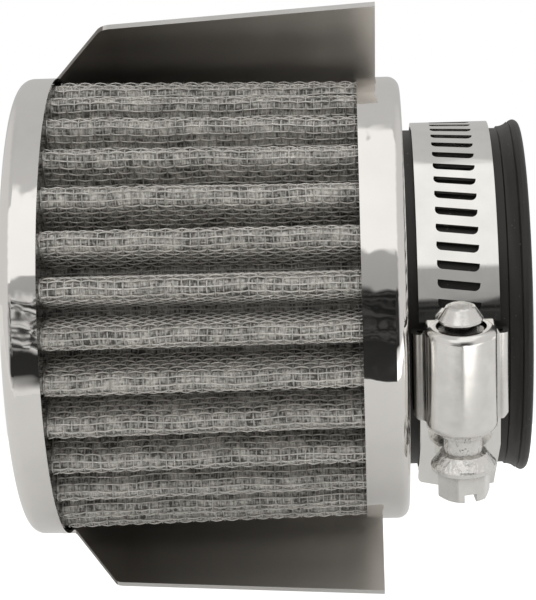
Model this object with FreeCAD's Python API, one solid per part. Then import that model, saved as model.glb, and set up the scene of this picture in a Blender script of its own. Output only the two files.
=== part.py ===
import FreeCAD, Part
import math
import os

# Clamp-on air filter for a motorcycle carburettor, with a chromed splash shield.
#
# Frame: X runs along the filter and out of the rubber neck, Z is up and Y points to the
# back, where the shield sits.  The origin is the centre of the neck's mouth, so the filter
# itself lies at negative X.  Sizes are in millimetres and degrees.

Vector = FreeCAD.Vector

# --- neck, the rubber sleeve that slides over the carburettor's inlet ---
NECK_BORE_R = 25.0
NECK_OUTER_R = 28.05
NECK_FREE_R = 28.35
NECK_LIP_R = 29.4
NECK_LENGTH = 22.8
NECK_FLANGE_R = 31.8
NECK_GROOVE_R = 26.95
SEAT_MARGIN = 0.4

# --- chromed caps ---
SHEET = 0.5
BASE_R = 37.1
BASE_FACE_X = -19.7
BASE_RIM_X = -26.8
BASE_SHOULDER = 2.0
BASE_HOLE_R = 27.0
FRONT_R = 38.4
FRONT_FACE_X = -82.9
FRONT_RIM_X = -76.85
FRONT_SHOULDER = 2.2

# --- pleated pack: two wire screens with two layers of gauze between them ---
PLEATS = 30
FIRST_PLEAT_DEG = 4.1
TIP_ROUND = 1.9
VALLEY_ROUND = 0.5
VALLEY_CENTRE_R = 29.5
TIP_R_FRONT = 37.7
TIP_R_BASE = 36.45
SCREEN_T = 0.43
GAUZE_T = 0.4
LAYER_GAP = 0.01
PACK_FRONT_X = -79.9
PACK_BASE_X = -23.3
SCREEN_FRONT_X = -76.2
POTTING_GAP = 0.02
POTTING_BORE_R = 26.5

# --- worm-drive clamp ---
CLAMP_X = -11.63
CLAMP_TURN = 20.0
BAND_W = 12.7
BAND_T = 0.65
BAND_IN_R = 28.62
BAND_PITCH = 3.0
SLOT_W = 6.7
SLOT_H = 1.35
SLOT_CORNER = 0.9
SLOTS_ON_LOOP = 34
FIRST_LOOP_SLOT = 8.78
FIRST_TAIL_SLOT = -1.59
FIRST_THREAD_T = 1.0
TAIL_SLOTS = 6
LOOP_END_DEG = 12.5
LOOP_START_DEG = -8.0
BACK_DEG = 150.0
LIFT_DEG = 45.0
LIFT = 0.73
LIFT_MIDDLE = 0.2
TAIL_LEAN = 5.0
TAIL_IN_H = 29.35
TAIL_START = -3.1
TAIL_END_LEFT = 18.9
TAIL_END_MIDDLE = 20.2
TAIL_END_RIGHT = 19.2
TAIL_CORNER = 0.9
TAIL_TAPER = 1.1
TAIL_FLARE = 0.5
TAIL_TAPER_LENGTH = 7.0

SADDLE_IN_R = 28.14
SADDLE_T = 0.42
SADDLE_HALF_DEG = 18.0
SADDLE_START = -4.7
SADDLE_END = 8.6
SADDLE_CORNER = 1.5

SCREW_H = 34.15
THREAD_R = 4.55
CORE_R = 3.55
THREAD_ROOT_W = 1.3
THREAD_CREST_W = 0.7
THREAD_TURNS = 4.3
SCREW_LEAN = 0.6
HEX_AF = 7.4
HEX_TURN = 16.0
HEX_START = 15.95
HEX_END = 21.15
HEX_CHAMFER = 0.7
DRIVER_SLOT_W = 1.95
DRIVER_SLOT_DEPTH = 1.75
DRIVER_SLOT_X = 0.5
DRIVER_SLOT_TURN = 6.0
FLANGE_R = 5.15
FLANGE_T = 0.6
CONE_START = 13.1
CONE_START_R = 3.7
SHANK_R = 3.0
COLLAR_START = 9.6
COLLAR_END = 10.2
COLLAR_R = 3.75
JOURNAL_R = 3.3
CORE_START = -7.1
CORE_END = 8.2
SCREW_TIP = ((-11.0, 1.9), (-10.8, 2.3), (-8.95, 3.5), (-8.6, 3.45), (-8.2, 2.5), (-7.15, 2.5))

HOUSING_TOP = -7.6
HOUSING_END = 9.4
BARREL_R = 5.55
BARREL_BORE_R = 4.72
BARREL_ROUND = 1.3
HOUSING_HOLE_R = 3.95
FOOT_W = 15.2
FOOT_START = -7.2
WING_START = -5.1
WING_END = 8.4
FOOT_UNDER_H = 30.35
FOOT_T = 0.75
LIP_T = 0.9
LIP_BEND = 1.2
LIP_LOW_H = 26.0
UNDER_CORNER = 0.4
FOOT_FILLET = 0.8
FOOT_INSET = 0.03
FOOT_START_HALF = 5.1
FOOT_END_HALF = 4.7
WING_ROOT_HALF = 6.1
WING_CORNER = 0.9
SADDLE_GAP = 0.05

# --- chromed shield ---
SHIELD_T = 0.9
SHIELD_IN_R = 38.48
SHIELD_WRAP_DEG = 56.5
SHIELD_WING = 34.0
SHIELD_ROLL = 6.05
SHIELD_TILT = 1.45
SHIELD_NECK_X = -23.4
SHIELD_FRONT_X = -80.2
SHIELD_SLANT = 0.7
# The ends of each wing's slanted front edge as (x, distance from the axis in the front view),
# the tip's distance, and how far the rounding of the root and of the corner starts from them.
SHIELD_ROOT_HIGH = (-78.9, 39.25)
SHIELD_CORNER_HIGH = (-69.3, 46.77)
SHIELD_TIP_HIGH = 48.75
SHIELD_CUTS_HIGH = (1.0, 1.5)
SHIELD_ROOT_LOW = (-77.75, 40.0)
SHIELD_CORNER_LOW = (-69.66, 48.13)
SHIELD_TIP_LOW = 50.1
SHIELD_CUTS_LOW = (0.4, 0.8)
SHIELD_REACH = 90.0
WELD_DEGS = (-28.0, 0.0, 28.0)
WELD_BASE_X = -25.1
WELD_FRONT_X = -78.6
WELD_R = 1.6
DENT_R = 8.0
DENT_DEPTH = 0.15

ORIGIN = Vector(0, 0, 0)
X_AXIS = Vector(1, 0, 0)
Y_AXIS = Vector(0, 1, 0)
Z_AXIS = Vector(0, 0, 1)


def outline(start, *steps):
    """Closed face from a start point; a step is an end point, or (middle, end) of an arc."""
    edges = []
    here = start
    for step in steps:
        if isinstance(step, tuple):
            middle, end = step
            edges.append(Part.Arc(here, middle, end).toShape())
        else:
            end = step
            edges.append(Part.makeLine(here, end))
        here = end
    edges.append(Part.makeLine(here, start))
    return Part.Face(Part.Wire(edges))


def ring_point(x, r):
    """A point of a profile that is turned about the X axis."""
    return Vector(x, 0, r)


def turned(start, *steps):
    """Solid of revolution about the X axis from an (x, r) outline."""
    return outline(start, *steps).revolve(ORIGIN, X_AXIS, 360)


def corner_middle(centre_x, centre_r, radius, degrees):
    """The point of an arc about (centre_x, centre_r) at an angle from +X toward +r."""
    a = math.radians(degrees)
    return ring_point(centre_x + radius * math.cos(a), centre_r + radius * math.sin(a))


def box_between(low, high):
    """Box from its lowest to its highest corner."""
    size = high.sub(low)
    return Part.makeBox(size.x, size.y, size.z, low)


def front_cap():
    """Closed drawn cup over the front end of the pack."""
    x_bend = FRONT_FACE_X + FRONT_SHOULDER
    r_bend = FRONT_R - FRONT_SHOULDER
    inner = FRONT_SHOULDER - SHEET
    return turned(
        ring_point(FRONT_FACE_X, 0),
        ring_point(FRONT_FACE_X, r_bend),
        (corner_middle(x_bend, r_bend, FRONT_SHOULDER, 135), ring_point(x_bend, FRONT_R)),
        ring_point(FRONT_RIM_X, FRONT_R),
        ring_point(FRONT_RIM_X, FRONT_R - SHEET),
        ring_point(x_bend, FRONT_R - SHEET),
        (corner_middle(x_bend, r_bend, inner, 135), ring_point(FRONT_FACE_X + SHEET, r_bend)),
        ring_point(FRONT_FACE_X + SHEET, 0),
    )


def base_cap():
    """Drawn ring cup over the neck end of the pack."""
    x_bend = BASE_FACE_X - BASE_SHOULDER
    r_bend = BASE_R - BASE_SHOULDER
    inner = BASE_SHOULDER - SHEET
    return turned(
        ring_point(BASE_FACE_X, BASE_HOLE_R),
        ring_point(BASE_FACE_X, r_bend),
        (corner_middle(x_bend, r_bend, BASE_SHOULDER, 45), ring_point(x_bend, BASE_R)),
        ring_point(BASE_RIM_X, BASE_R),
        ring_point(BASE_RIM_X, BASE_R - SHEET),
        ring_point(x_bend, BASE_R - SHEET),
        (corner_middle(x_bend, r_bend, inner, 45), ring_point(BASE_FACE_X - SHEET, r_bend)),
        ring_point(BASE_FACE_X - SHEET, BASE_HOLE_R),
    )


def neck_sleeve():
    """Rubber neck: lip at the mouth, plain seat for the clamp, groove that grips the base cap."""
    lip_x = -1.0
    seam_x = -1.7
    seam_half = 0.2
    seam_depth = 0.5
    root_x = -3.3
    fillet_x = -2.5
    fillet_r = 28.58
    step = 0.2
    seat_x = CLAMP_X + FOOT_W / 2 + SEAT_MARGIN
    groove_front = BASE_FACE_X + POTTING_GAP
    groove_back = BASE_FACE_X - SHEET - POTTING_GAP
    return turned(
        ring_point(0, NECK_BORE_R),
        ring_point(0, NECK_LIP_R + lip_x),
        (corner_middle(lip_x, NECK_LIP_R + lip_x, -lip_x, 45), ring_point(lip_x, NECK_LIP_R)),
        ring_point(seam_x + seam_half, NECK_LIP_R - seam_half),
        ring_point(seam_x, NECK_LIP_R - seam_depth),
        ring_point(seam_x - seam_half, NECK_LIP_R - 2 * seam_half),
        (ring_point(fillet_x, fillet_r), ring_point(root_x, NECK_FREE_R)),
        ring_point(seat_x, NECK_FREE_R),
        ring_point(seat_x - step, NECK_OUTER_R),
        ring_point(groove_front, NECK_OUTER_R),
        ring_point(groove_front, NECK_GROOVE_R),
        ring_point(groove_back, NECK_GROOVE_R),
        ring_point(groove_back, NECK_FLANGE_R),
        ring_point(-NECK_LENGTH, NECK_FLANGE_R),
        ring_point(-NECK_LENGTH, NECK_BORE_R),
    )


def polar(x, r, degrees):
    """Point at a radius and an angle, counted from the -Y direction toward +Z."""
    a = math.radians(degrees)
    return Vector(x, -r * math.cos(a), r * math.sin(a))


def beside(x, out, side, degrees):
    """Point given by how far out it is along a tip's own direction and how far to its side."""
    a = math.radians(degrees)
    return Vector(x, -out * math.cos(a) - side * math.sin(a),
                  out * math.sin(a) - side * math.cos(a))


def pleat_wire(x, tip_r, depth):
    """Closed pleated line across the axis, a depth below the pack's outer surface."""
    tip_c = tip_r - TIP_ROUND
    tip_round = TIP_ROUND - depth
    valley_round = VALLEY_ROUND + depth
    half = 180.0 / PLEATS
    across = VALLEY_CENTRE_R * math.sin(math.radians(half))
    inward = tip_c - VALLEY_CENTRE_R * math.cos(math.radians(half))
    span = math.hypot(across, inward)
    lean = math.asin((tip_round + valley_round) / span)
    flank = math.atan2(across, inward) - lean
    # The flank's normal, in (outward, sideways) of the tip it leaves.
    out_n = math.sin(flank)
    side_n = math.cos(flank)
    tip_out = tip_c + tip_round * out_n
    tip_side = tip_round * side_n
    valley_out = VALLEY_CENTRE_R * math.cos(math.radians(half)) - valley_round * out_n
    valley_side = across - valley_round * side_n
    edges = []
    for i in range(PLEATS):
        at_tip = FIRST_PLEAT_DEG + 2 * half * i
        at_valley = at_tip + half
        next_tip = at_tip + 2 * half
        left = beside(x, tip_out, tip_side, at_tip)
        right = beside(x, tip_out, -tip_side, at_tip)
        down = beside(x, valley_out, -valley_side, at_tip)
        up = beside(x, valley_out, valley_side, next_tip)
        next_left = beside(x, tip_out, tip_side, next_tip)
        edges.append(Part.Arc(left, polar(x, tip_c + tip_round, at_tip), right).toShape())
        edges.append(Part.makeLine(right, down))
        bottom = polar(x, VALLEY_CENTRE_R - valley_round, at_valley)
        edges.append(Part.Arc(down, bottom, up).toShape())
        edges.append(Part.makeLine(up, next_left))
    return Part.Wire(edges)


def tip_radius(x):
    """The pack tapers evenly from the front cap to the base cap."""
    share = (x - PACK_FRONT_X) / (PACK_BASE_X - PACK_FRONT_X)
    return TIP_R_FRONT + share * (TIP_R_BASE - TIP_R_FRONT)


def pleated_layer(x_low, depth, thickness):
    """One layer of the pack: a pleated tube from x_low to the base end."""
    ends = (x_low, PACK_BASE_X)
    skins = []
    for d in (depth, depth + thickness):
        wires = [pleat_wire(x, tip_radius(x), d) for x in ends]
        skins.append(Part.makeLoft(wires, True, True))
    return skins[0].cut(skins[1])


def pack_layers():
    """The four pleated layers, from the outside in."""
    step = SCREEN_T + LAYER_GAP
    gauze_step = GAUZE_T + LAYER_GAP
    return {
        "outer_screen": pleated_layer(SCREEN_FRONT_X, 0, SCREEN_T),
        "outer_gauze": pleated_layer(PACK_FRONT_X, step, GAUZE_T),
        "inner_gauze": pleated_layer(PACK_FRONT_X, step + gauze_step, GAUZE_T),
        "inner_screen": pleated_layer(PACK_FRONT_X, step + 2 * gauze_step, SCREEN_T),
    }


def front_potting():
    """Sealing compound that bonds the pack into the front cap."""
    outer_r = FRONT_R - SHEET - POTTING_GAP
    low = FRONT_FACE_X + SHEET + POTTING_GAP
    bend = FRONT_SHOULDER - SHEET
    return turned(
        ring_point(low, POTTING_BORE_R),
        ring_point(low, outer_r - bend),
        (corner_middle(low + bend, outer_r - bend, bend, 135), ring_point(low + bend, outer_r)),
        ring_point(PACK_FRONT_X - POTTING_GAP, outer_r),
        ring_point(PACK_FRONT_X - POTTING_GAP, POTTING_BORE_R),
    )


def base_potting():
    """Sealing compound around the neck's flange, under the pack's base end."""
    outer_r = BASE_R - SHEET - POTTING_GAP
    high = BASE_FACE_X - SHEET - POTTING_GAP
    low = PACK_BASE_X + POTTING_GAP
    bend = BASE_SHOULDER - SHEET
    return turned(
        ring_point(high, NECK_FLANGE_R + POTTING_GAP),
        ring_point(high, outer_r - bend),
        (corner_middle(high - bend, outer_r - bend, bend, 45), ring_point(high - bend, outer_r)),
        ring_point(low, outer_r),
        ring_point(low, POTTING_BORE_R),
        ring_point(-NECK_LENGTH - POTTING_GAP, POTTING_BORE_R),
        ring_point(-NECK_LENGTH - POTTING_GAP, NECK_FLANGE_R + POTTING_GAP),
    )


def clamp_point(x, h, t):
    """A point of the clamp: h outward from the neck's axis, t along the screw to its head."""
    return Vector(CLAMP_X + x, -h, -t)


def on_clamp(shape, lean=0.0):
    """Turns a clamp piece from facing -Y to its place a little below that."""
    placed = shape.copy()
    placed.rotate(ORIGIN, X_AXIS, CLAMP_TURN + lean)
    return placed


def slot_cutter(h_low, h_high):
    """One band slot at t = 0: straight edge toward the tip, rounded corners toward the head."""
    half = SLOT_W / 2
    edge = SLOT_H / 2
    c = SLOT_CORNER
    k = c * (1 - math.sqrt(0.5))
    face = outline(
        clamp_point(-half, h_low, -edge),
        clamp_point(half, h_low, -edge),
        clamp_point(half, h_low, edge - c),
        (clamp_point(half - k, h_low, edge - k), clamp_point(half - c, h_low, edge)),
        clamp_point(c - half, h_low, edge),
        (clamp_point(k - half, h_low, edge - k), clamp_point(-half, h_low, edge - c)),
    )
    solid = face.extrude(Vector(0, h_low - h_high, 0))
    lead = math.degrees(math.atan2(BAND_PITCH, 2 * math.pi * (THREAD_R + CORE_R) / 2))
    solid.rotate(clamp_point(0, 0, 0), Y_AXIS, lead)
    return solid


def band_loop():
    """The band's loop round the neck, with worm slots on its driven end."""
    def at(r, psi):
        a = math.radians(psi)
        return clamp_point(-BAND_W / 2, r * math.cos(a), r * math.sin(a))

    lift_start = 360 - LIFT_DEG
    end = 360 - LOOP_END_DEG
    middle = (lift_start + end) / 2
    low_r = BAND_IN_R
    high_r = BAND_IN_R + BAND_T
    face = outline(
        at(low_r, LOOP_START_DEG),
        (at(low_r, BACK_DEG), at(low_r, lift_start)),
        (at(low_r + LIFT_MIDDLE, middle), at(low_r + LIFT, end)),
        at(high_r + LIFT, end),
        (at(high_r + LIFT_MIDDLE, middle), at(high_r, lift_start)),
        (at(high_r, BACK_DEG), at(high_r, LOOP_START_DEG)),
    )
    loop = face.extrude(Vector(BAND_W, 0, 0))
    neutral = BAND_IN_R + BAND_T / 2
    cutter = slot_cutter(BAND_IN_R - 1, BAND_IN_R + BAND_T + 2)
    cutters = []
    for i in range(SLOTS_ON_LOOP):
        psi = math.degrees((FIRST_LOOP_SLOT + BAND_PITCH * i) / neutral)
        copy = cutter.copy()
        copy.rotate(ORIGIN, X_AXIS, -psi)
        cutters.append(copy)
    return on_clamp(loop.cut(Part.makeCompound(cutters)))


def band_tail():
    """The band's free end: straight out under the screw's head, trimmed on the slant."""
    half = BAND_W / 2
    left = half + TAIL_FLARE
    corner = TAIL_CORNER
    k = corner * (1 - math.sqrt(0.5))
    face = outline(
        clamp_point(-half, TAIL_IN_H, TAIL_START),
        clamp_point(half, TAIL_IN_H, TAIL_START),
        clamp_point(half, TAIL_IN_H, TAIL_END_RIGHT - TAIL_TAPER_LENGTH),
        clamp_point(half - TAIL_TAPER, TAIL_IN_H, TAIL_END_RIGHT),
        clamp_point(0, TAIL_IN_H, TAIL_END_MIDDLE),
        clamp_point(corner - left, TAIL_IN_H, TAIL_END_LEFT),
        (clamp_point(k - left, TAIL_IN_H, TAIL_END_LEFT - k),
         clamp_point(-left, TAIL_IN_H, TAIL_END_LEFT - corner)),
        clamp_point(-half, TAIL_IN_H, TAIL_END_LEFT - TAIL_TAPER_LENGTH),
    )
    tail = face.extrude(Vector(0, -BAND_T, 0))
    cutter = slot_cutter(TAIL_IN_H - 1, TAIL_IN_H + BAND_T + 1)
    for i in range(TAIL_SLOTS):
        copy = cutter.copy()
        copy.translate(Vector(0, 0, -(FIRST_TAIL_SLOT + BAND_PITCH * i)))
        tail = tail.cut(copy)
    return on_clamp(tail, TAIL_LEAN)


def clamp_saddle():
    """Curved plate under the band that the housing is hooked to."""
    half_w = FOOT_W / 2
    a = math.radians(SADDLE_HALF_DEG)
    outer_r = SADDLE_IN_R + SADDLE_T

    def at(r, angle):
        return clamp_point(-half_w, r * math.cos(angle), r * math.sin(angle))

    face = outline(
        at(SADDLE_IN_R, -a),
        (at(SADDLE_IN_R, 0), at(SADDLE_IN_R, a)),
        at(outer_r, a),
        (at(outer_r, 0), at(outer_r, -a)),
    )
    plate = face.extrude(Vector(FOOT_W, 0, 0))
    cut = SADDLE_CORNER
    plan = plan_prism([
        (-half_w, SADDLE_START), (half_w, SADDLE_START), (half_w, SADDLE_END - cut),
        (half_w - cut, SADDLE_END), (cut - half_w, SADDLE_END), (-half_w, SADDLE_END - cut)])
    return on_clamp(plate.common(plan))


def plan_prism(points):
    """Prism along the clamp's outward direction over a plan given in (x, t)."""
    start, *others = [clamp_point(x, 20, t) for x, t in points]
    return outline(start, *others).extrude(Vector(0, -30, 0))


def round_bar(points):
    """Solid turned about the screw's axis from (t, r) points; a pair of points is an arc."""
    def at(t, r):
        return clamp_point(0, SCREW_H + r, t)

    steps = []
    for p in points:
        if isinstance(p[0], tuple):
            steps.append((at(*p[0]), at(*p[1])))
        else:
            steps.append(at(*p))
    last = points[-1][1] if isinstance(points[-1][0], tuple) else points[-1]
    face = outline(at(points[0][0], 0), *steps, at(last[0], 0))
    return face.revolve(clamp_point(0, SCREW_H, 0), Z_AXIS, 360)


def clamp_housing():
    """Pressed housing: a barrel over the screw, feet over the band and lips down its edges."""
    k = BARREL_ROUND * (1 - math.sqrt(0.5))
    top, end = HOUSING_TOP, HOUSING_END
    barrel = round_bar([
        (top, BARREL_R - BARREL_ROUND),
        ((top + k, BARREL_R - k), (top + BARREL_ROUND, BARREL_R)),
        (end - BARREL_ROUND, BARREL_R),
        ((end - k, BARREL_R - k), (end, BARREL_R - BARREL_ROUND)),
    ])
    half = FOOT_W / 2
    inside = half - LIP_T
    roof = inside - UNDER_CORNER
    foot_top = FOOT_UNDER_H + FOOT_T
    k_lip = LIP_BEND * (1 - math.sqrt(0.5))
    side = BARREL_R - FOOT_INSET
    k_fillet = FOOT_FILLET * (1 - math.sqrt(0.5))
    section = outline(
        clamp_point(-side, SCREW_H, top),
        clamp_point(-side, foot_top + FOOT_FILLET, top),
        (clamp_point(-side - k_fillet, foot_top + k_fillet, top),
         clamp_point(-side - FOOT_FILLET, foot_top, top)),
        clamp_point(LIP_BEND - half, foot_top, top),
        (clamp_point(k_lip - half, foot_top - k_lip, top),
         clamp_point(-half, foot_top - LIP_BEND, top)),
        clamp_point(-half, LIP_LOW_H, top),
        clamp_point(-inside, LIP_LOW_H, top),
        clamp_point(-inside, FOOT_UNDER_H - UNDER_CORNER, top),
        clamp_point(-roof, FOOT_UNDER_H, top),
        clamp_point(roof, FOOT_UNDER_H, top),
        clamp_point(inside, FOOT_UNDER_H - UNDER_CORNER, top),
        clamp_point(inside, LIP_LOW_H, top),
        clamp_point(half, LIP_LOW_H, top),
        clamp_point(half, foot_top - LIP_BEND, top),
        (clamp_point(half - k_lip, foot_top - k_lip, top),
         clamp_point(half - LIP_BEND, foot_top, top)),
        clamp_point(side + FOOT_FILLET, foot_top, top),
        (clamp_point(side + k_fillet, foot_top + k_fillet, top),
         clamp_point(side, foot_top + FOOT_FILLET, top)),
        clamp_point(side, SCREW_H, top),
    )
    skirt = section.extrude(Vector(0, 0, top - end))
    right_side = [
        (FOOT_START_HALF, FOOT_START), (WING_ROOT_HALF, WING_START), (half, WING_START),
        (half, WING_END), (half - WING_CORNER, WING_END + WING_CORNER), (FOOT_END_HALF, end)]
    left_side = [(-x, t) for x, t in reversed(right_side)]
    plan = plan_prism(right_side + left_side)
    wall = BARREL_R - BARREL_BORE_R
    bore = round_bar([(top + wall, BARREL_BORE_R), (end - wall, BARREL_BORE_R)])
    hole = round_bar([(top - 1, HOUSING_HOLE_R), (end + 1, HOUSING_HOLE_R)])
    clearance = Part.makeCylinder(SADDLE_IN_R + SADDLE_T + SADDLE_GAP, FOOT_W + 4,
                                  Vector(CLAMP_X - half - 2, 0, 0), X_AXIS)
    tunnel = box_between(clamp_point(-roof, FOOT_UNDER_H, end + 1),
                         clamp_point(roof, LIP_LOW_H - 1, top - 1))
    body = barrel.fuse(skirt.common(plan))
    for hollow in (tunnel, clearance, bore, hole):
        body = body.cut(hollow)
    return on_clamp(body)


def worm_thread():
    """Right-handed worm, swept as a ridge that dips into the band's slots."""
    axis_point = clamp_point(0, SCREW_H, 0)
    height = BAND_PITCH * THREAD_TURNS
    helix = Part.makeHelix(BAND_PITCH, height, CORE_R - 0.2)
    root = THREAD_ROOT_W / 2
    crest = THREAD_CREST_W / 2
    inner_r = CORE_R - 0.2
    profile = Part.makePolygon([
        Vector(inner_r, 0, -root), Vector(THREAD_R, 0, -crest),
        Vector(THREAD_R, 0, crest), Vector(inner_r, 0, root), Vector(inner_r, 0, -root)])
    ridge = Part.Wire(helix).makePipeShell([profile], True, True)
    # The helix rises along +Z from the +X side.  A quarter turn takes it to the band's side,
    # +Y of the screw, where a crest has to meet the middle of a slot.
    ridge.rotate(ORIGIN, Z_AXIS, 90)
    lowest = -(FIRST_THREAD_T + BAND_PITCH * 2)
    ridge.translate(axis_point.add(Vector(0, 0, lowest)))
    return ridge


def hex_head():
    """Hexagon with a driver slot across its end."""
    corner_r = HEX_AF / 2 / math.cos(math.radians(30))
    points = []
    for i in range(7):
        a = math.radians(60 * i + 30 + HEX_TURN)
        points.append(clamp_point(corner_r * math.sin(a), SCREW_H + corner_r * math.cos(a),
                                  HEX_START))
    prism = Part.Face(Part.makePolygon(points)).extrude(Vector(0, 0, HEX_START - HEX_END))
    c = HEX_CHAMFER
    dome = round_bar([(HEX_START, corner_r + c), (HEX_END - c, corner_r),
                      (HEX_END, corner_r - 2 * c)])
    slot = box_between(
        clamp_point(-DRIVER_SLOT_W / 2, SCREW_H + HEX_AF, HEX_END + 1),
        clamp_point(DRIVER_SLOT_W / 2, SCREW_H - HEX_AF, HEX_END - DRIVER_SLOT_DEPTH))
    slot.rotate(clamp_point(0, SCREW_H, 0), Z_AXIS, DRIVER_SLOT_TURN)
    slot.translate(Vector(DRIVER_SLOT_X, 0, 0))
    return prism.common(dome).cut(slot)


def clamp_screw():
    """Worm screw: cone tip, thread, collar, plain shank, cone flange and slotted hexagon."""
    body = round_bar([
        *SCREW_TIP,
        (CORE_START, CORE_R), (CORE_END, CORE_R), (CORE_END + 0.2, JOURNAL_R),
        (COLLAR_START, JOURNAL_R), (COLLAR_START, COLLAR_R), (COLLAR_END, COLLAR_R),
        (COLLAR_END, SHANK_R), (CONE_START, SHANK_R), (CONE_START + 0.3, CONE_START_R),
        (HEX_START - FLANGE_T, FLANGE_R), (HEX_START, FLANGE_R),
        (HEX_START + 0.3, FLANGE_R - 0.5),
    ])
    screw = body.fuse(worm_thread()).fuse(hex_head())
    screw.rotate(clamp_point(0, SCREW_H, 0), Y_AXIS, -SCREW_LEAN)
    return on_clamp(screw)


def shield_section(x):
    """Cross-section of the shield at x: a trough with flat wings, open toward -Y."""
    wrap = math.radians(SHIELD_WRAP_DEG)

    def arc_point(r, angle):
        return Vector(x, r * math.cos(angle), r * math.sin(angle))

    def wing_end(r, side):
        root = arc_point(r, side * wrap)
        along = Vector(0, -math.sin(wrap), side * math.cos(wrap))
        return root.add(along.multiply(SHIELD_WING))

    inner, outer = SHIELD_IN_R, SHIELD_IN_R + SHIELD_T
    return outline(
        wing_end(inner, -1),
        arc_point(inner, -wrap),
        (arc_point(inner, 0), arc_point(inner, wrap)),
        wing_end(inner, 1),
        wing_end(outer, 1),
        arc_point(outer, wrap),
        (arc_point(outer, 0), arc_point(outer, -wrap)),
        wing_end(outer, -1),
    )


def on_shield(shape):
    """Leans the shield toward the smaller base cap, then rolls it about the filter's axis."""
    placed = shape.copy()
    placed.rotate(Vector(FRONT_RIM_X, 0, 0), Z_AXIS, -SHIELD_TILT)
    placed.rotate(ORIGIN, X_AXIS, SHIELD_ROLL)
    return placed


def rounded(points, cuts):
    """Closed face over flat corners; a cut is how far from its corner a rounding starts."""
    steps = []
    for i, (here, cut) in enumerate(zip(points, cuts)):
        if cut == 0:
            steps.append(here)
            continue
        back = (points[i - 1] - here).normalize()
        ahead = (points[(i + 1) % len(points)] - here).normalize()
        inward = (back + ahead).normalize()
        half = back.getAngle(inward)
        middle = here + inward * (cut * (1 - math.sin(half)) / math.cos(half))
        steps.append(here + back * cut)
        steps.append((middle, here + ahead * cut))
    return outline(*steps)


def wing_trim(side, root, corner, tip_z, cuts):
    """Prism square to a wing, bounded by the wing's cut edge as the front view has it."""
    a = math.radians(side * SHIELD_WRAP_DEG)
    out = Vector(0, math.cos(a), math.sin(a))
    skin = on_shield(Part.makeLine(out * (SHIELD_IN_R + SHIELD_T), out * SHIELD_REACH))
    foot = skin.Vertexes[0].Point
    normal = (skin.Vertexes[1].Point - foot).normalize()

    def on_skin(x, z):
        y = foot.y + (normal.x * (foot.x - x) + normal.z * (foot.z - side * z)) / normal.y
        return Vector(x, y, side * z)

    rise = (tip_z - corner[1]) / (SHIELD_NECK_X - corner[0])
    before = SHIELD_FRONT_X - 2
    beyond = SHIELD_NECK_X + 2
    points = [
        on_skin(before, root[1]), on_skin(*root), on_skin(*corner),
        on_skin(beyond, corner[1] + rise * (beyond - corner[0])),
        on_skin(beyond, -SHIELD_REACH), on_skin(before, -SHIELD_REACH)]
    face = rounded(points, (0, *cuts, 0, 0, 0))
    face.translate(normal * -SHIELD_REACH)
    return face.extrude(normal * 2 * SHIELD_REACH)


def end_trim():
    """Prism that squares off the shield's front end and slants its neck end."""
    reach = SHIELD_REACH
    lean = SHIELD_SLANT * reach / (SHIELD_TIP_HIGH + SHIELD_TIP_LOW)
    middle = SHIELD_NECK_X - SHIELD_SLANT / 2
    corners = [(SHIELD_FRONT_X, reach), (middle + lean, reach),
               (middle - lean, -reach), (SHIELD_FRONT_X, -reach)]
    return outline(*[Vector(x, -reach, z) for x, z in corners]).extrude(Y_AXIS * 2 * reach)


def weld_spots():
    """Places of the spot welds: x along the filter and an angle about the shield's back."""
    return [(x, degrees) for x in (WELD_BASE_X, WELD_FRONT_X) for degrees in WELD_DEGS]


def weld_dent(x, degrees):
    """Ball whose cap is the electrode's shallow dent in the shield's outer face."""
    a = math.radians(degrees)
    r = SHIELD_IN_R + SHIELD_T + DENT_R - DENT_DEPTH
    return Part.makeSphere(DENT_R, Vector(x, r * math.cos(a), r * math.sin(a)))


def shield():
    """Chromed splash shield behind the pack, spot-welded to both caps."""
    trough = shield_section(SHIELD_FRONT_X - 2).extrude(
        Vector(SHIELD_NECK_X - SHIELD_FRONT_X + 4, 0, 0))
    for x, degrees in weld_spots():
        trough = trough.cut(weld_dent(x, degrees))
    sheet = on_shield(trough).common(end_trim())
    high = wing_trim(1, SHIELD_ROOT_HIGH, SHIELD_CORNER_HIGH, SHIELD_TIP_HIGH, SHIELD_CUTS_HIGH)
    low = wing_trim(-1, SHIELD_ROOT_LOW, SHIELD_CORNER_LOW, SHIELD_TIP_LOW, SHIELD_CUTS_LOW)
    return sheet.common(high).common(low)


def shield_welds():
    """Weld nuggets that join the shield's sheet to the caps' sheets."""
    nuggets = []
    for x, degrees in weld_spots():
        cap_r = BASE_R if x == WELD_BASE_X else FRONT_R
        a = math.radians(degrees + SHIELD_ROLL)
        out = Vector(0, math.cos(a), math.sin(a))
        start = out * (cap_r - SHEET / 2)
        length = SHIELD_IN_R + SHIELD_T / 3 - cap_r + SHEET / 2
        if x == WELD_BASE_X:
            length -= (x - FRONT_RIM_X) * math.tan(math.radians(SHIELD_TILT))
        nuggets.append(Part.makeCylinder(WELD_R, length, start + Vector(x, 0, 0), out))
    return Part.makeCompound(nuggets)


def all_nodes():
    """Every piece of the filter, by node name."""
    nodes = {
        "front_cap": front_cap(),
        "base_cap": base_cap(),
        "neck_sleeve": neck_sleeve(),
        "front_potting": front_potting(),
        "base_potting": base_potting(),
        "clamp_band": band_loop(),
        "clamp_band_tail": band_tail(),
        "clamp_saddle": clamp_saddle(),
        "clamp_housing": clamp_housing(),
        "clamp_screw": clamp_screw(),
        "shield": shield(),
        "shield_welds": shield_welds(),
    }
    nodes.update(pack_layers())
    return nodes


def main():
    os.makedirs("parts", exist_ok=True)
    for name, shape in all_nodes().items():
        print(name, len(shape.Solids), shape.isValid(), round(shape.Volume, 1))
        shape.exportStep("parts/" + name + ".step")


main()
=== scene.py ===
import math

import bpy
import numpy as np
from mathutils import Matrix, Vector


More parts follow.
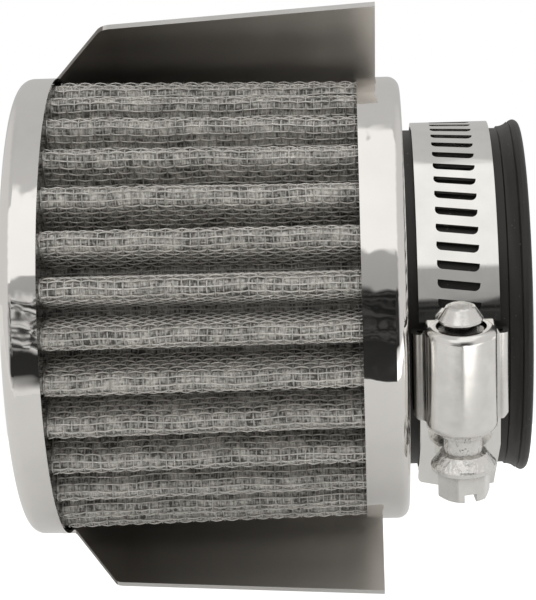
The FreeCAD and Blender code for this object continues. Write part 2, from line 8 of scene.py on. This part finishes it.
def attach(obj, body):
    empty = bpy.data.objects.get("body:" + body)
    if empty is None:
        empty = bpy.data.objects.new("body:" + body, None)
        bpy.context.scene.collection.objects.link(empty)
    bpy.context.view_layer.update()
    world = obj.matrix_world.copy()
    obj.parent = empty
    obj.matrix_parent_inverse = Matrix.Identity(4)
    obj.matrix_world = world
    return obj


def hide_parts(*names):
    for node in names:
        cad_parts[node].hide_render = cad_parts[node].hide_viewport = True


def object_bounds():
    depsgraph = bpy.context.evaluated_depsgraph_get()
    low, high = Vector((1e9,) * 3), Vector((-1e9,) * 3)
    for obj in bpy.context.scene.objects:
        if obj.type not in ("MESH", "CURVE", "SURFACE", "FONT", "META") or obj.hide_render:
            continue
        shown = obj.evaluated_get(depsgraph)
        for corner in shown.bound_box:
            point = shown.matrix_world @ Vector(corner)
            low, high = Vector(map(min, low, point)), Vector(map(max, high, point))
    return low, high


MM = 0.001

# --- the pleated pack, as the CAD has it (mm and degrees) ---
PLEATS = 30
FIRST_PLEAT_DEG = 4.1
TIP_ROUND = 1.9
VALLEY_ROUND = 0.5
VALLEY_CENTRE_R = 29.5
PACK_FRONT_X = -79.9
PACK_BASE_X = -23.3
TIP_R_FRONT = 37.7
TIP_R_BASE = 36.45
SCREEN_FRONT_X = -76.6
SCREEN_T = 0.43

# --- the woven wires, in mm. Half way between crossings, a wire is lifted by ARC_LIFT of its
# crimp, and the hoops lie HOOP_DEPTH deeper than the middle of the weave ---
WIRES_PER_PLEAT = 16
HOOPS = 42
WIRE_R = 0.145
WIRE_CRIMP = 0.17
HOOP_CRIMP = 0.1
HOOP_DEPTH = 0.03
ARC_LIFT = 0.35
TIP_STEPS = 24
VALLEY_STEPS = 12
# Slow wander of the hoops in mm and of the wires in wire spaces, as a sum of waves: how many go
# round the pack, how far each row of points shifts them in radians, and their weight.
HOOP_WANDER = 0.16
HOOP_WAVES = ((37, 0.06, 1.0), (83, 0.11, 0.7))
WIRE_WANDER = 0.195
WIRE_WAVES = ((5, 0.31, 1.0), (23, 0.13, 0.8))
WANDER_SEED = 7

# --- smooth shading: corners this close, as decimals of a metre, are one corner ---
WELD_DECIMALS = 7
CREASE_DEG = 28

# --- materials, with lengths in metres. A soft edge is a pair: where it starts and ends ---
# The inner face of the shield has painted shade that goes from dark to bright along x. The shield's
# front edges, where the normal's x is below the limit set here, get the same painted shade.
SHADED_TO_LIT_X = (-0.068, -0.032)
SHADED_EDGE_X = -0.55
# Painted shade in corners: its colour, how far a corner reaches, and the openness over which it
# fades.
PAINTED_SHADE_COLOUR = (0.2, 0.19, 0.18)
PAINTED_SHADE_REACH = 0.003
PAINTED_SHADE_OPEN = (0.35, 0.9)
# Burrs on the screw's shank, between two edges in z; their height is a multiple of the pits'.
BURR_LOW_Z = (-0.0285, -0.0275)
BURR_HIGH_Z = (-0.021, -0.0205)
BURR_HEIGHT = 14.0
# Gauze: what share the threads across have of all threads, what share the threads have against
# the mottle, and the values over which it goes from dark to light.
GAUZE_ACROSS = 0.55
GAUZE_THREADS = 0.65
GAUZE_TONES = (0.42, 0.59)
# Dust on the rubber: the specks' soft edge, and how far they hide the rubber.
DUST_EDGE = (0.74, 0.8)
DUST_STRENGTH = 0.5

# --- camera, in mm and degrees ---
CAMERA_AT = (-27.71, -402.18, 1.49)
CAMERA_YAW = -2.12
CAMERA_PITCH = -0.2
CAMERA_ROLL = -1.46
CAMERA_LENS = 142.8
SENSOR = 36.0

# --- light tent: a place on it is degrees up from the front, round the filter, and the
# direction's x, from -1 to 1. The levels are (degrees, brightness) ---
TENT_LEVELS = ((-180, 0.55), (-60, 0.75), (-46, 0.72), (-43, 0.03), (0, 0.01), (5, 0.02),
               (7, 0.34), (23, 0.38), (25, 0.93), (95, 0.96), (100, 0.54), (180, 0.5))
TENT_TINT = (1.0, 0.99, 0.97)
# Toward the left, a height above the front counts as up to this share more, over this x, so
# that the soft box comes lower.
TENT_SKEW = 0.9
TENT_SKEW_X = (-0.2, 0.0)
# The soft edges of each patch in degrees or x, and its colour.
CLUTTER_TOP = (4, 7)
CLUTTER_BOTTOM = (-24, -21)
CLUTTER_RIGHT = (-0.1, -0.04)
CLUTTER_LEFTOVER = 0.06
CLUTTER_SCALE = 30.0
CLUTTER_PATCHES = (0.44, 0.6)
CLUTTER_STRENGTH = 0.8
CLUTTER_COLOUR = (0.8, 0.79, 0.77)
WALL_START = (0.42, 0.62)
WALL_COLOUR = (0.62, 0.61, 0.6)
CARD_TOP = (-36, -26)
CARD_LEFT = (0.05, 0.09)
CARD_RIGHT = (0.86, 0.94)
CARD_COLOUR = (1.6, 1.58, 1.53)
FILL_TOP = (-42, -34)
FILL_RIGHT = (-0.07, -0.02)
FILL_COLOUR = (0.72, 0.71, 0.69)
# What the camera itself sees of the tent.
BACKDROP = (1, 1, 1)

# --- floor, in metres; it glows, and more so to the camera itself ---
FLOOR_SIZE = 0.5
FLOOR_FRONT_Y = -0.076
FLOOR_DROP = 0.001
FLOOR_GLOW = 0.14
FLOOR_GLOW_SEEN = 0.7


# ---------------------------------------------------------------- node helpers

def new_material(name):
    """A material with an empty graph but for the shader and the output."""
    material = bpy.data.materials.new(name)
    material.use_nodes = True
    tree = material.node_tree
    shader = tree.nodes["Principled BSDF"]
    return material, tree, shader


def object_coords(tree, stretch=(1, 1, 1)):
    """The piece's own coordinates in metres, scaled along each axis."""
    coords = tree.nodes.new("ShaderNodeTexCoord")
    mapping = tree.nodes.new("ShaderNodeMapping")
    mapping.inputs["Scale"].default_value = stretch
    tree.links.new(coords.outputs["Object"], mapping.inputs["Vector"])
    return mapping.outputs["Vector"]


def noise(tree, scale, detail=3.0, stretch=(1, 1, 1)):
    """A noise value from 0 to 1; scale is in features per metre."""
    node = tree.nodes.new("ShaderNodeTexNoise")
    node.inputs["Scale"].default_value = scale
    node.inputs["Detail"].default_value = detail
    tree.links.new(object_coords(tree, stretch), node.inputs["Vector"])
    return node.outputs["Fac"]


def remap(tree, value, low, high, from_low=0.3, from_high=0.7):
    """A value taken from one range to the range low to high, and kept inside it."""
    node = tree.nodes.new("ShaderNodeMapRange")
    node.inputs["From Min"].default_value = from_low
    node.inputs["From Max"].default_value = from_high
    node.inputs["To Min"].default_value = low
    node.inputs["To Max"].default_value = high
    tree.links.new(value, node.inputs["Value"])
    return node.outputs["Result"]


def edge_up(tree, value, edge):
    """0 before the soft edge and 1 after it."""
    return remap(tree, value, 0, 1, *edge)


def edge_down(tree, value, edge):
    """1 before the soft edge and 0 after it."""
    return remap(tree, value, 1, 0, *edge)


def mix_colours(tree, share, first, second):
    """A colour between two, by share."""
    node = tree.nodes.new("ShaderNodeMix")
    node.data_type = "RGBA"
    node.inputs["A"].default_value = (*first, 1)
    node.inputs["B"].default_value = (*second, 1)
    tree.links.new(share, node.inputs["Factor"])
    return node.outputs["Result"]


def cover(tree, share, under, colour):
    """One colour laid over what is under it, by share."""
    node = tree.nodes.new("ShaderNodeMix")
    node.data_type = "RGBA"
    node.inputs["B"].default_value = (*colour, 1)
    tree.links.new(share, node.inputs["Factor"])
    tree.links.new(under, node.inputs["A"])
    return node.outputs["Result"]


def combine(tree, operation, first, second):
    """Two values, each a socket or a number, through a math node."""
    node = tree.nodes.new("ShaderNodeMath")
    node.operation = operation
    for socket, value in zip(node.inputs, (first, second)):
        if isinstance(value, (int, float)):
            socket.default_value = value
        else:
            tree.links.new(value, socket)
    return node.outputs["Value"]


def product(tree, first, *others):
    """All the values multiplied together."""
    for other in others:
        first = combine(tree, "MULTIPLY", first, other)
    return first


def weighted(tree, first, second, share):
    """A share of the first value and the rest of the second."""
    return combine(tree, "ADD", combine(tree, "MULTIPLY", first, share),
                   combine(tree, "MULTIPLY", second, 1 - share))


def axis_values(tree, coordinates):
    """The x, y and z of coordinates, by name."""
    node = tree.nodes.new("ShaderNodeSeparateXYZ")
    tree.links.new(coordinates, node.inputs["Vector"])
    return node.outputs


def bump(tree, shader, height, distance):
    """Height in 0 to 1 times distance in metres, as the shader's normal."""
    node = tree.nodes.new("ShaderNodeBump")
    node.inputs["Distance"].default_value = distance
    node.inputs["Strength"].default_value = 1.0
    tree.links.new(height, node.inputs["Height"])
    tree.links.new(node.outputs["Normal"], shader.inputs["Normal"])


# ---------------------------------------------------------------- materials

def chrome():
    """Bright chrome plate on thin pressed sheet: slight waves, haze and fine specks."""
    material, tree, shader = new_material("chrome_plate")
    shader.inputs["Metallic"].default_value = 1.0
    haze = noise(tree, 90, 4)
    colour = mix_colours(tree, remap(tree, haze, 0, 1), (0.88, 0.862, 0.84), (0.94, 0.92, 0.897))
    tree.links.new(colour, shader.inputs["Base Color"])
    tree.links.new(remap(tree, haze, 0.02, 0.06), shader.inputs["Roughness"])
    waves = noise(tree, 230, 1)
    bump(tree, shader, waves, distance=0.00011)
    return material


def satin_chrome():
    """Chrome over rolled sheet, a little hazier than the caps, with pits along its length."""
    material, tree, shader = new_material("chrome_shield")
    shader.inputs["Metallic"].default_value = 1.0
    haze = noise(tree, 60, 4)
    colour = mix_colours(tree, remap(tree, haze, 0, 1), (0.80, 0.785, 0.76), (0.88, 0.87, 0.85))
    tree.links.new(colour, shader.inputs["Base Color"])
    tree.links.new(remap(tree, haze, 0.1, 0.19), shader.inputs["Roughness"])
    grain = noise(tree, 1500, 3, stretch=(0.25, 1, 1))
    bump(tree, shader, grain, distance=0.000004)
    return material


def shield_inside():
    """The shield's inner face: thin, unpolished plate, with painted shade that darkens it toward
    the front cap.
    """
    material, tree, shader = new_material("chrome_shield_inside")
    shader.inputs["Metallic"].default_value = 0.9
    haze = noise(tree, 500, 4)
    x = axis_values(tree, object_coords(tree))["X"]
    # Painted shade along x: dark near the front cap, bright toward the neck.
    toward_neck = edge_up(tree, x, SHADED_TO_LIT_X)
    colour = mix_colours(tree, toward_neck, (0.24, 0.222, 0.2), (0.9, 0.87, 0.83))
    tree.links.new(colour, shader.inputs["Base Color"])
    tree.links.new(remap(tree, haze, 0.36, 0.46), shader.inputs["Roughness"])
    bump(tree, shader, haze, distance=0.00001)
    return material


def band_steel():
    """Stainless strip with fine rolling lines that run round the band."""
    material, tree, shader = new_material("stainless_strip")
    shader.inputs["Metallic"].default_value = 1.0
    lines = noise(tree, 900, 3, stretch=(6, 0.12, 0.12))
    patches = noise(tree, 220, 3)
    colour = mix_colours(tree, remap(tree, patches, 0, 1), (0.86, 0.85, 0.825), (0.93, 0.92, 0.895))
    tree.links.new(colour, shader.inputs["Base Color"])
    tree.links.new(remap(tree, lines, 0.04, 0.09), shader.inputs["Roughness"])
    bump(tree, shader, lines, distance=0.0000008)
    return material


def burrs(tree):
    """Torn metal on the screw's shank, from 0 to BURR_HEIGHT, fading out at both ends."""
    z = axis_values(tree, object_coords(tree))["Z"]
    torn = noise(tree, 1500, 3, stretch=(1, 1, 0.5))
    return product(tree, torn, edge_up(tree, z, BURR_LOW_Z), edge_down(tree, z, BURR_HIGH_Z),
                   BURR_HEIGHT)


def zinc(name, low_rough, high_rough, pitting, torn=False):
    """Bright zinc plate: satin, mottled, with painted shade darkening its corners, pitted, and torn
    if asked.
    """
    material, tree, shader = new_material(name)
    shader.inputs["Metallic"].default_value = 1.0
    mottle = noise(tree, 350, 4)
    colour = mix_colours(tree, remap(tree, mottle, 0, 1), (0.84, 0.825, 0.8), (0.95, 0.935, 0.91))
    # Painted shade: where ambient occlusion finds a corner close by, the base colour is darkened
    # toward a dark grey.
    corners = tree.nodes.new("ShaderNodeAmbientOcclusion")
    corners.inputs["Distance"].default_value = PAINTED_SHADE_REACH
    shaded_share = edge_down(tree, corners.outputs["AO"], PAINTED_SHADE_OPEN)
    tree.links.new(cover(tree, shaded_share, colour, PAINTED_SHADE_COLOUR), shader.inputs["Base Color"])
    tree.links.new(remap(tree, mottle, high_rough, low_rough), shader.inputs["Roughness"])
    height = noise(tree, 2200, 3)
    if torn:
        height = combine(tree, "ADD", height, burrs(tree))
    bump(tree, shader, height, distance=pitting)
    return material


def rubber():
    """Moulded black rubber: satin, with mould bloom and a few grey dust specks."""
    material, tree, shader = new_material("moulded_rubber")
    bloom = noise(tree, 120, 4)
    base = mix_colours(tree, remap(tree, bloom, 0, 1),
                       (0.014, 0.0128, 0.0115), (0.027, 0.025, 0.023))
    specks = noise(tree, 2600, 1)
    dust = remap(tree, specks, 0, DUST_STRENGTH, *DUST_EDGE)
    tree.links.new(cover(tree, dust, base, (0.3, 0.29, 0.27)), shader.inputs["Base Color"])
    tree.links.new(remap(tree, bloom, 0.36, 0.52), shader.inputs["Roughness"])
    grain = noise(tree, 3000, 2)
    bump(tree, shader, grain, distance=0.00001)
    return material


def potting():
    """Cast resin that seals the pack's ends: dull grey with flow marks."""
    material, tree, shader = new_material("potting_resin")
    flow = noise(tree, 150, 4)
    colour = mix_colours(tree, remap(tree, flow, 0, 1), (0.045, 0.044, 0.042), (0.09, 0.088, 0.084))
    tree.links.new(colour, shader.inputs["Base Color"])
    tree.links.new(remap(tree, flow, 0.5, 0.7), shader.inputs["Roughness"])
    bump(tree, shader, flow, distance=0.0001)
    return material


def wire(name, dark, light):
    """Drawn steel wire, a little dull, brighter and darker along its length."""
    material, tree, shader = new_material(name)
    shader.inputs["Metallic"].default_value = 0.5
    along = noise(tree, 260, 3)
    tree.links.new(mix_colours(tree, remap(tree, along, 0, 1), dark, light),
                   shader.inputs["Base Color"])
    tree.links.new(remap(tree, along, 0.42, 0.26), shader.inputs["Roughness"])
    return material


def gauze(name, dark, light):
    """Fine filter gauze: threads too close to build, as ribs both ways and a slower mottle."""
    material, tree, shader = new_material(name)
    across = noise(tree, 3200, 2, stretch=(1, 0.3, 0.3))
    along = noise(tree, 3200, 2, stretch=(0.25, 1, 1))
    mottle = noise(tree, 420, 3)
    threads = weighted(tree, across, along, GAUZE_ACROSS)
    share = weighted(tree, threads, mottle, GAUZE_THREADS)
    colour = mix_colours(tree, edge_up(tree, share, GAUZE_TONES), dark, light)
    tree.links.new(colour, shader.inputs["Base Color"])
    tree.links.new(remap(tree, mottle, 0.5, 0.7), shader.inputs["Roughness"])
    bump(tree, shader, threads, distance=0.00006)
    return material


# ---------------------------------------------------------------- smooth normals

def smooth_normals(node, crease_deg):
    """Gives a CAD node's facets shared normals, except across its real edges."""
    mesh = node.data
    coords = np.zeros(len(mesh.vertices) * 3)
    mesh.vertices.foreach_get("co", coords)
    coords = coords.reshape(-1, 3)
    _, welded = np.unique(np.round(coords, WELD_DECIMALS), axis=0, return_inverse=True)
    welded = welded.reshape(-1)
    normals = np.array([p.normal for p in mesh.polygons])
    areas = np.array([p.area for p in mesh.polygons])
    around = {}
    for i, polygon in enumerate(mesh.polygons):
        for v in polygon.vertices:
            around.setdefault(int(welded[v]), []).append(i)
    limit = math.cos(math.radians(crease_deg))
    custom = []
    for i, polygon in enumerate(mesh.polygons):
        for v in polygon.vertices:
            near = np.array(around[int(welded[v])])
            near = near[normals[near] @ normals[i] > limit]
            total = (normals[near] * areas[near, None]).sum(0)
            custom.append(total / max(np.linalg.norm(total), 1e-12))
    mesh.polygons.foreach_set("use_smooth", [True] * len(mesh.polygons))
    mesh.normals_split_custom_set([tuple(n) for n in custom])


# ---------------------------------------------------------------- the woven screen

def pleat_line(tip_r, depth):
    """One pleat's line at a depth, from tip to tip: rows of (out, side, normal out, normal
    side), in the directions of the first tip, and the length so far at each."""
    half = math.pi / PLEATS
    tip_c = tip_r - TIP_ROUND
    tip_round = TIP_ROUND - depth
    valley_round = VALLEY_ROUND + depth
    across = VALLEY_CENTRE_R * math.sin(half)
    inward = tip_c - VALLEY_CENTRE_R * math.cos(half)
    lean = math.asin((tip_round + valley_round) / math.hypot(across, inward))
    flank = math.atan2(across, inward) - lean
    rows = []
    for a in np.linspace(0, math.pi / 2 - flank, TIP_STEPS):
        rows.append((tip_c + tip_round * math.cos(a), tip_round * math.sin(a),
                     math.cos(a), math.sin(a)))
    valley_out = VALLEY_CENTRE_R * math.cos(half)
    for a in np.linspace(math.pi / 2 - flank, half, VALLEY_STEPS):
        rows.append((valley_out - valley_round * math.cos(a), across - valley_round * math.sin(a),
                     math.cos(a), math.sin(a)))
    first = np.array(rows)
    mirror = first[::-1].copy()
    turned = mirror.copy()
    c, s = math.cos(2 * half), math.sin(2 * half)
    for k in (0, 2):
        turned[:, k] = mirror[:, k] * c + mirror[:, k + 1] * s
        turned[:, k + 1] = mirror[:, k] * s - mirror[:, k + 1] * c
    whole = np.vstack([first, turned[1:]])
    steps = np.hypot(np.diff(whole[:, 0]), np.diff(whole[:, 1]))
    return whole, np.concatenate([[0], np.cumsum(steps)])


def wander(waves, phases, turn, row):
    """Sum of slow waves round the pack and along it, from -1 to 1."""
    total = 0
    for (number, per_row, weight), phase in zip(waves, phases):
        total = total + weight * np.sin(number * turn + phase + row * per_row)
    return total / sum(weight for _, _, weight in waves)


def screen_row(x, slot):
    """Points and normals of one row round the screen; slot counts half wire spaces."""
    share = (x.mean() - PACK_FRONT_X) / (PACK_BASE_X - PACK_FRONT_X)
    tip_r = TIP_R_FRONT + share * (TIP_R_BASE - TIP_R_FRONT)
    line, length = pleat_line(tip_r, SCREEN_T / 2)
    pleats_so_far = slot / (2 * WIRES_PER_PLEAT)
    pleat = np.floor(pleats_so_far)
    along = (pleats_so_far - pleat) * length[-1]
    out, side, n_out, n_side = (np.interp(along, length, line[:, c]) for c in range(4))
    size = np.hypot(n_out, n_side)
    angle = np.radians(FIRST_PLEAT_DEG) + pleat * 2 * math.pi / PLEATS
    c, s = np.cos(angle), np.sin(angle)
    points = np.stack([x, -out * c + side * s, out * s + side * c], 1)
    normals = np.stack([0 * x, (-n_out * c + n_side * s) / size,
                        (n_out * s + n_side * c) / size], 1)
    return points, normals


def weave_grid():
    """Points and normals of the screen's middle surface at every crossing and half way between:
    first index along the filter, second round the pleats."""
    rows = 2 * HOOPS - 1
    columns = 2 * WIRES_PER_PLEAT * PLEATS
    rng = np.random.default_rng(WANDER_SEED)
    hoop_phases, wire_phases = rng.uniform(0, 2 * math.pi, (2, 2))
    i = np.arange(rows)[:, None]
    k = np.arange(columns)[None, :]
    turn = 2 * math.pi * k / columns
    x_low = SCREEN_FRONT_X + WIRE_R
    x_high = PACK_BASE_X - WIRE_R
    x = x_low + (x_high - x_low) * i / (rows - 1)
    ends = np.sin(np.pi * i / (rows - 1))
    x = x + HOOP_WANDER * ends * wander(HOOP_WAVES, hoop_phases, turn, i)
    slot = k + 2 * WIRE_WANDER * wander(WIRE_WAVES, wire_phases, turn, i)
    made = [screen_row(x[r], slot[r]) for r in range(rows)]
    return np.stack([points for points, _ in made]), np.stack([normals for _, normals in made])


def crimp_signs(rows, columns):
    """+1 where a hoop passes over at a crossing, -1 where under, 0 half way between."""
    signs = np.zeros((rows, columns))
    i, k = np.meshgrid(np.arange(0, rows, 2), np.arange(0, columns, 2), indexing="ij")
    signs[0::2, 0::2] = np.where((i // 2 + k // 2) % 2 == 0, 1.0, -1.0)
    return signs


def tube_mesh(lines, normals, closed):
    """Vertices and quads of four-sided tubes along lines given as (wire, point, 3)."""
    wires, count = lines.shape[:2]
    if closed:
        ahead, behind = np.roll(lines, -1, 1), np.roll(lines, 1, 1)
    else:
        ahead = np.concatenate([lines[:, 1:], lines[:, -1:]], 1)
        behind = np.concatenate([lines[:, :1], lines[:, :-1]], 1)
    tangent = ahead - behind
    tangent /= np.linalg.norm(tangent, axis=2, keepdims=True)
    beside = np.cross(tangent, normals)
    beside /= np.linalg.norm(beside, axis=2, keepdims=True)
    above = np.cross(beside, tangent)
    rings = []
    for corner in range(4):
        a = math.pi / 4 + corner * math.pi / 2
        rings.append(lines + WIRE_R * (beside * math.cos(a) + above * math.sin(a)))
    vertices = np.stack(rings, 2)
    index = np.arange(wires * count * 4).reshape(wires, count, 4)
    here = index if closed else index[:, :-1]
    there = np.roll(index, -1, 1) if closed else index[:, 1:]
    quads = [np.stack([here[:, :, c], here[:, :, (c + 1) % 4],
                       there[:, :, (c + 1) % 4], there[:, :, c]], -1) for c in range(4)]
    faces = np.concatenate([q.reshape(-1, 4) for q in quads])
    if not closed:
        faces = np.concatenate([faces, index[:, 0, ::-1], index[:, -1, :]])
    return vertices.reshape(-1, 3), faces


def mesh_object(name, vertices, faces, material):
    """A smooth-shaded object from millimetre vertices and quads."""
    mesh = bpy.data.meshes.new(name)
    mesh.vertices.add(len(vertices))
    mesh.vertices.foreach_set("co", (vertices * MM).ravel())
    mesh.loops.add(faces.size)
    mesh.loops.foreach_set("vertex_index", faces.ravel().astype(np.int32))
    mesh.polygons.add(len(faces))
    mesh.polygons.foreach_set("loop_start", np.arange(0, faces.size, 4, dtype=np.int32))
    mesh.polygons.foreach_set("use_smooth", np.ones(len(faces), bool))
    mesh.update(calc_edges=True)
    mesh.materials.append(material)
    piece = bpy.data.objects.new(name, mesh)
    bpy.context.scene.collection.objects.link(piece)
    return piece


def two_objects(name, lines, normals, closed, material):
    """The wires in two objects, half in each, so that neither has too many faces."""
    half = len(lines) // 2
    made = []
    for number, run in enumerate((slice(0, half), slice(half, None)), 1):
        tubes = tube_mesh(lines[run], normals[run], closed)
        made.append(mesh_object(f"{name}_{number}", *tubes, material))
    return made


def woven_screen(hoop_material, wire_material):
    """Plain-woven screen: hoops round the pleats and wires along them, over and under."""
    points, normals = weave_grid()
    signs = crimp_signs(*points.shape[:2])[:, :, None]
    arch = np.where(signs == 0, ARC_LIFT, 0)
    over = points + normals * (HOOP_CRIMP * (signs + arch) - HOOP_DEPTH)
    under = points + normals * WIRE_CRIMP * (arch - signs)
    wires = under[:, 0::2].transpose(1, 0, 2)
    wire_normals = normals[:, 0::2].transpose(1, 0, 2)
    return (two_objects("screen_hoops", over[0::2], normals[0::2], True, hoop_material)
            + two_objects("screen_wires", wires, wire_normals, False, wire_material))


# ---------------------------------------------------------------- studio

def camera():
    """The photograph's viewpoint: nearly level, and nearly square to the filter's side."""
    yaw, pitch, roll = (math.radians(a) for a in (CAMERA_YAW, CAMERA_PITCH, CAMERA_ROLL))
    forward = Vector((math.sin(yaw) * math.cos(pitch), math.cos(yaw) * math.cos(pitch),
                      math.sin(pitch)))
    level = Vector((math.cos(yaw), -math.sin(yaw), 0))
    upright = level.cross(forward)
    right = level * math.cos(roll) + upright * math.sin(roll)
    up = upright * math.cos(roll) - level * math.sin(roll)
    data = bpy.data.cameras.new("camera")
    data.sensor_width = SENSOR
    data.lens = CAMERA_LENS
    seen = bpy.data.objects.new("camera", data)
    bpy.context.scene.collection.objects.link(seen)
    turn = Matrix((right, up, -forward)).transposed()
    seen.matrix_world = Matrix.Translation(Vector(CAMERA_AT) * MM) @ turn.to_4x4()
    bpy.context.scene.camera = seen


def in_radians(edge):
    """A soft edge given in degrees, as radians."""
    return tuple(math.radians(angle) for angle in edge)


def tent_levels(tree, height, x):
    """The tent's brightness by elevation; seen toward the left, the soft box hangs lower."""
    skew = remap(tree, x, TENT_SKEW, 0, *TENT_SKEW_X)
    risen = product(tree, combine(tree, "MAXIMUM", height, 0), skew)
    share = remap(tree, combine(tree, "ADD", height, risen), 0, 1, -math.pi, math.pi)
    ramp = tree.nodes.new("ShaderNodeValToRGB")
    points = ramp.color_ramp.elements
    while len(points) < len(TENT_LEVELS):
        points.new(0.5)
    for point, (degrees, level) in zip(points, TENT_LEVELS):
        point.position = (degrees + 180) / 360
        point.color = (*(level * tint for tint in TENT_TINT), 1)
    tree.links.new(share, ramp.inputs["Fac"])
    return ramp.outputs["Color"]


def tent_clutter(tree, directions, height, x):
    """Blurred light and dark things on the left, below the soft box."""
    things = tree.nodes.new("ShaderNodeTexNoise")
    things.inputs["Scale"].default_value = CLUTTER_SCALE
    things.inputs["Detail"].default_value = 3.0
    tree.links.new(directions, things.inputs["Vector"])
    patchy = edge_up(tree, things.outputs["Fac"], CLUTTER_PATCHES)
    beside_eye = remap(tree, x, 1, CLUTTER_LEFTOVER, *CLUTTER_RIGHT)
    return product(tree, patchy, CLUTTER_STRENGTH, beside_eye,
                   edge_down(tree, height, in_radians(CLUTTER_TOP)),
                   edge_up(tree, height, in_radians(CLUTTER_BOTTOM)))


def light_tent():
    """Light from a pale tent: a soft box above the front, a dark opening round the camera,
    grey walls at both ends, and a bright card and a dimmer one below."""
    world = bpy.data.worlds.new("tent")
    bpy.context.scene.world = world
    world.use_nodes = True
    tree = world.node_tree
    tree.nodes.clear()
    directions = tree.nodes.new("ShaderNodeTexCoord").outputs["Generated"]
    axes = axis_values(tree, directions)
    x = axes["X"]
    height = combine(tree, "ARCTAN2", axes["Z"], combine(tree, "MULTIPLY", axes["Y"], -1))
    card = product(tree, edge_down(tree, height, in_radians(CARD_TOP)),
                   edge_up(tree, x, CARD_LEFT), edge_down(tree, x, CARD_RIGHT))
    fill = product(tree, edge_down(tree, height, in_radians(FILL_TOP)),
                   edge_down(tree, x, FILL_RIGHT))
    walls = edge_up(tree, combine(tree, "ABSOLUTE", x, 0), WALL_START)
    seen = tree.nodes.new("ShaderNodeLightPath").outputs["Is Camera Ray"]
    clutter = tent_clutter(tree, directions, height, x)
    light = tent_levels(tree, height, x)
    for share, colour in ((clutter, CLUTTER_COLOUR), (walls, WALL_COLOUR), (card, CARD_COLOUR),
                          (fill, FILL_COLOUR), (seen, BACKDROP)):
        light = cover(tree, share, light, colour)
    background = tree.nodes.new("ShaderNodeBackground")
    tree.links.new(light, background.inputs["Color"])
    output = tree.nodes.new("ShaderNodeOutputWorld")
    tree.links.new(background.outputs["Background"], output.inputs["Surface"])


def floor(height):
    """Plain pale floor that ends a little in front of the filter."""
    mesh = bpy.data.meshes.new("floor")
    corners = [(-FLOOR_SIZE, FLOOR_FRONT_Y, height), (FLOOR_SIZE, FLOOR_FRONT_Y, height),
               (FLOOR_SIZE, FLOOR_SIZE, height), (-FLOOR_SIZE, FLOOR_SIZE, height)]
    mesh.from_pydata(corners, [], [(0, 1, 2, 3)])
    plane = bpy.data.objects.new("floor", mesh)
    bpy.context.scene.collection.objects.link(plane)
    material, tree, shader = new_material("pale_floor")
    mottle = noise(tree, 6, 2)
    colour = mix_colours(tree, mottle, (0.78, 0.78, 0.77), (0.82, 0.82, 0.81))
    tree.links.new(colour, shader.inputs["Base Color"])
    shader.inputs["Roughness"].default_value = 0.9
    shader.inputs["Emission Color"].default_value = (1, 1, 1, 1)
    seen = tree.nodes.new("ShaderNodeLightPath").outputs["Is Camera Ray"]
    glow = combine(tree, "ADD", combine(tree, "MULTIPLY", seen, FLOOR_GLOW_SEEN), FLOOR_GLOW)
    tree.links.new(glow, shader.inputs["Emission Strength"])
    mesh.materials.append(material)


def node_materials():
    """A material for each CAD node that shows."""
    cap_chrome = chrome()
    shield_chrome = satin_chrome()
    strip = band_steel()
    seal = potting()
    return {
        "front_cap": cap_chrome,
        "base_cap": cap_chrome,
        "shield": shield_chrome,
        "shield_welds": shield_chrome,
        "neck_sleeve": rubber(),
        "front_potting": seal,
        "base_potting": seal,
        "clamp_band": strip,
        "clamp_band_tail": strip,
        "clamp_saddle": strip,
        "clamp_housing": zinc("zinc_pressed", 0.16, 0.25, pitting=0.000004),
        "clamp_screw": zinc("zinc_turned", 0.16, 0.3, pitting=0.00002, torn=True),
        "outer_gauze": gauze("gauze_fine", (0.115, 0.11, 0.1), (0.92, 0.895, 0.85)),
        "inner_gauze": gauze("gauze_second", (0.2, 0.19, 0.18), (0.5, 0.485, 0.46)),
        "inner_screen": gauze("inner_mesh", (0.2, 0.195, 0.185), (0.5, 0.49, 0.46)),
    }


def dress(node, material):
    """Gives a CAD node its material and smooth normals."""
    node.data.materials.clear()
    node.data.materials.append(material)
    smooth_normals(node, CREASE_DEG)


def shade_painted_inside(node, material):
    """Gives the inner material, with its painted shade, to the faces that look toward the filter's
    axis or its front.
    """
    node.data.materials.append(material)
    turn = node.matrix_world.to_3x3()
    for polygon in node.data.polygons:
        place = node.matrix_world @ polygon.center
        facing = turn @ polygon.normal
        inward = place.y * facing.y + place.z * facing.z < 0
        if inward or facing.x < SHADED_EDGE_X:
            polygon.material_index = 1


# ---------------------------------------------------------------- the scene

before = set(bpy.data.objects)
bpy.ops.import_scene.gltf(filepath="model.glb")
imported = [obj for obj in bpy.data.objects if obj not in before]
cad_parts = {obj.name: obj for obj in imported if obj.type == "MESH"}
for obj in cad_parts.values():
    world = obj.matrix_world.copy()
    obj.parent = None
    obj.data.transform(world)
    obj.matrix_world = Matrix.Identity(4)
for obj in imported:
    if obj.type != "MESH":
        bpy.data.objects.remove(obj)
cad_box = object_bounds()

bpy.context.scene.view_settings.view_transform = "Standard"
camera()
light_tent()
floor(cad_box[0].z - FLOOR_DROP)

for name, material in node_materials().items():
    dress(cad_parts[name], material)
shade_painted_inside(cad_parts["shield"], shield_inside())

# The hoops are the same steel as the long wires, given a darker colour as painted shade.
screen = woven_screen(
    wire("hoop_wire_steel_shaded", (0.42, 0.41, 0.385), (0.78, 0.765, 0.73)),
    wire("long_wire_steel", (0.7, 0.68, 0.645), (1.0, 0.975, 0.93)))
for piece in screen:
    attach(piece, "filter")
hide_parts("outer_screen")
